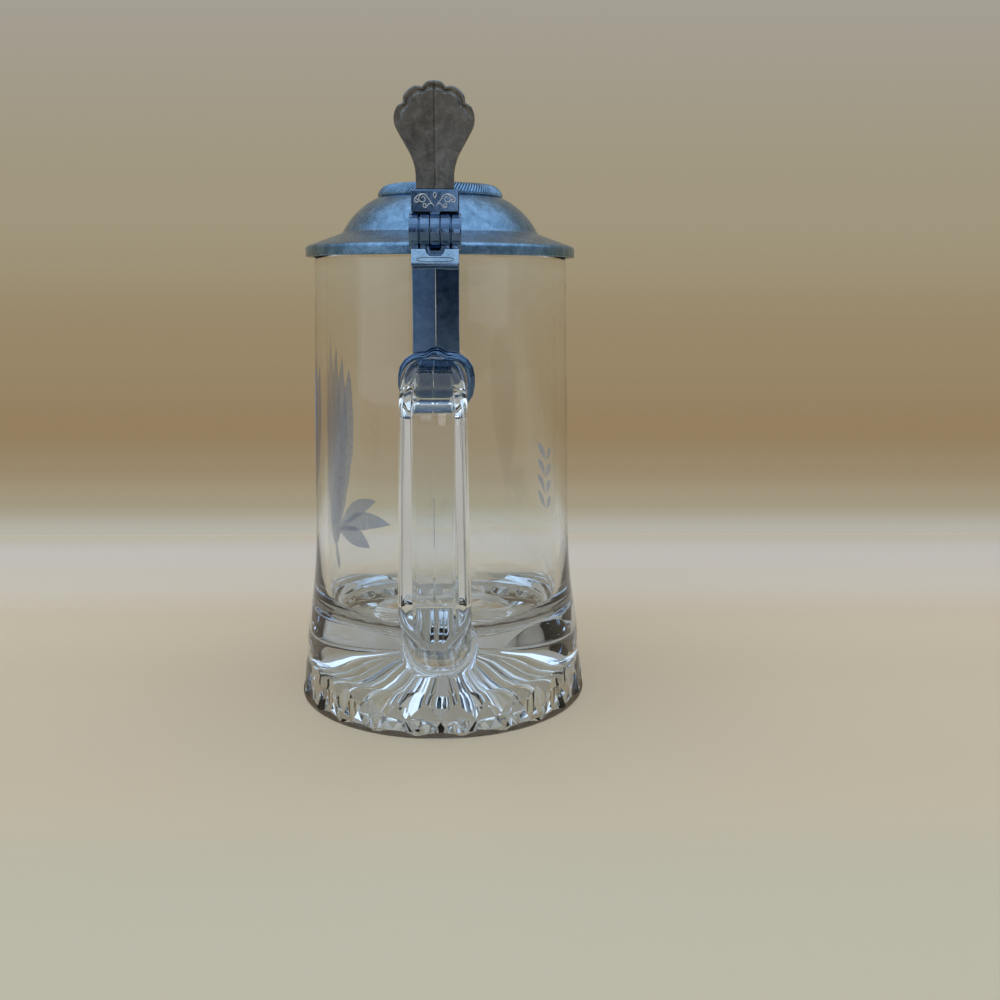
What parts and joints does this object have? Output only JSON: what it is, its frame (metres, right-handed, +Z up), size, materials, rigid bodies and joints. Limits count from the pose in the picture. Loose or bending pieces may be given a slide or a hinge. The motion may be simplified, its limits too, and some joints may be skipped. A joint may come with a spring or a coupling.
{
  "type": "lidded beer stein",
  "caption": "Clear pressed-glass beer stein with a panelled handle, fluted foot and star base, closed by a domed pewter lid on a strap hinge with a fan-shaped thumblift.",
  "frame": {"origin": "centre of the foot's resting face, on the axis of the glass", "axes": "+Z up along the axis of the glass; -Y towards the handle and the hinge; X along the hinge pin"},
  "size_m": [0.1012, 0.1351, 0.1989],
  "materials": {
    "clear_glass": "clear, fire-polished",
    "pewter": "cast pewter, satin, lightly mottled",
    "dark_pewter": "cast pewter, darkened by handling",
    "pin_metal": "drawn wire"
  },
  "bodies": {
    "mug": {"glass_body": "clear_glass", "glass_handle": "clear_glass", "handle_ring": "pewter", "hinge_strap": "pewter", "hinge_pin": "pin_metal"},
    "lid": {"lid_cover": "pewter", "lid_medallion": "pewter", "lid_tang": "dark_pewter", "thumblift": "dark_pewter"}
  },
  "joints": [
    {"name": "lid_hinge", "type": "hinge", "parent": "mug", "child": "lid", "pos_m": [0, -0.0515, 0.1577], "axis": [1, 0, 0], "range_deg": [0, 95]}
  ]
}
